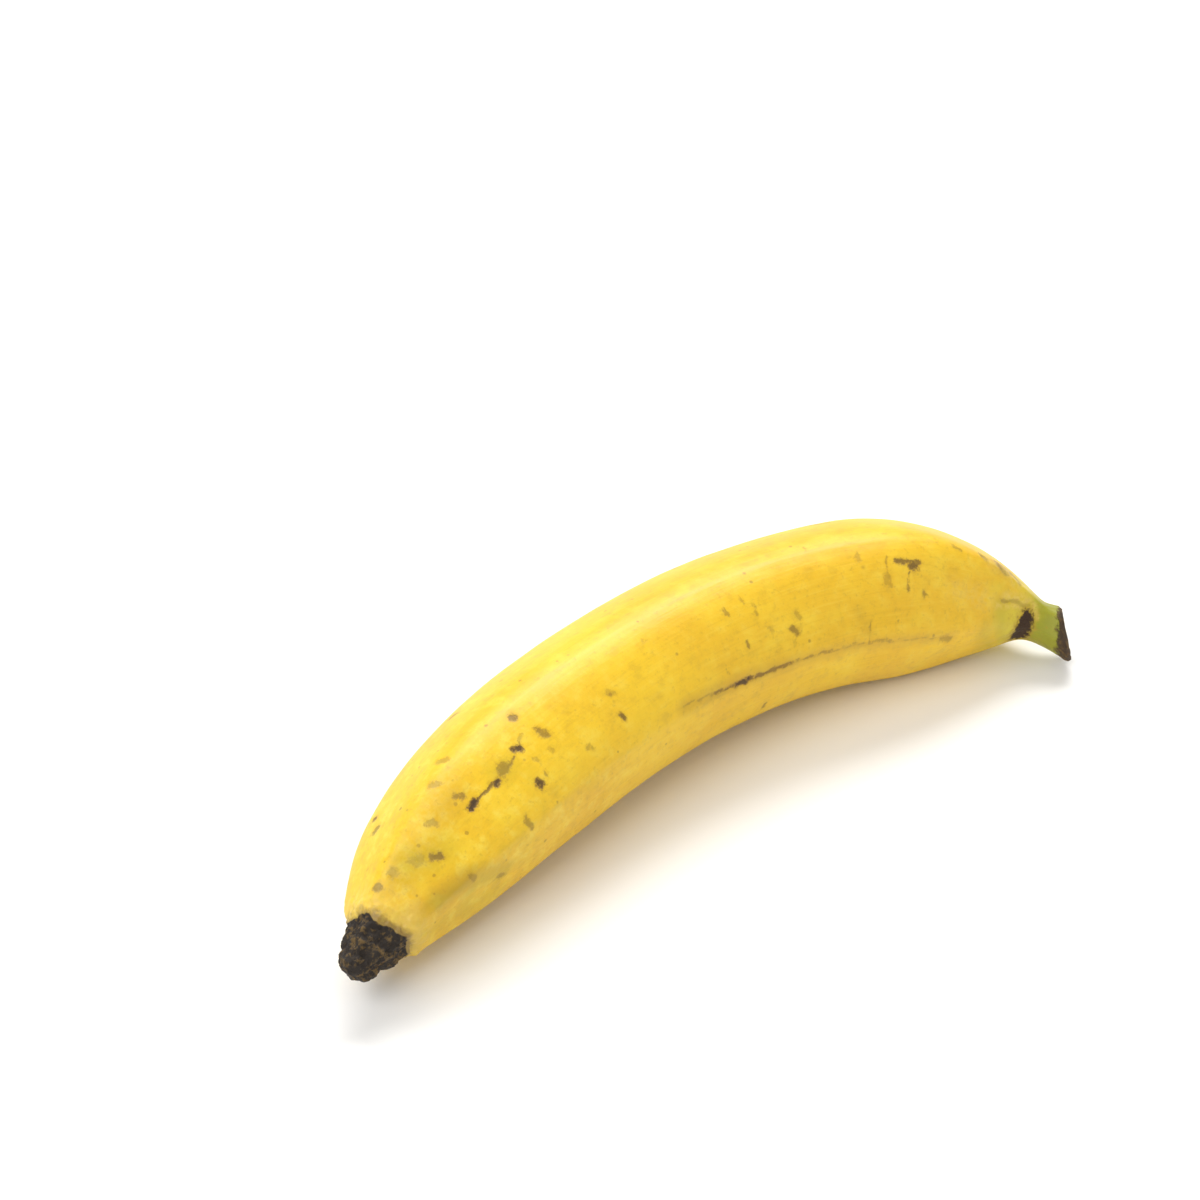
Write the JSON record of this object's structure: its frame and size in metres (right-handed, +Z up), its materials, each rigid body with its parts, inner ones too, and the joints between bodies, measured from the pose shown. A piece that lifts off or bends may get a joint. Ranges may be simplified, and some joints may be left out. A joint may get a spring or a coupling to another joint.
{
  "type": "plantain",
  "caption": "Ripe curved plantain: a ridged, tapering fruit lying on its side, with a short cut stalk and a dry blossom tip.",
  "frame": {"origin": "middle of the fruit's outline seen from above, on the surface it lies on", "axes": "+X along the chord from the blossom end to the stalk, +Y towards the outside of the bend, +Z up from the surface"},
  "size_m": [0.2473, 0.0702, 0.0495],
  "materials": {
    "peel": "satin"
  },
  "bodies": {
    "root": {"plantain": "peel"}
  },
  "joints": []
}
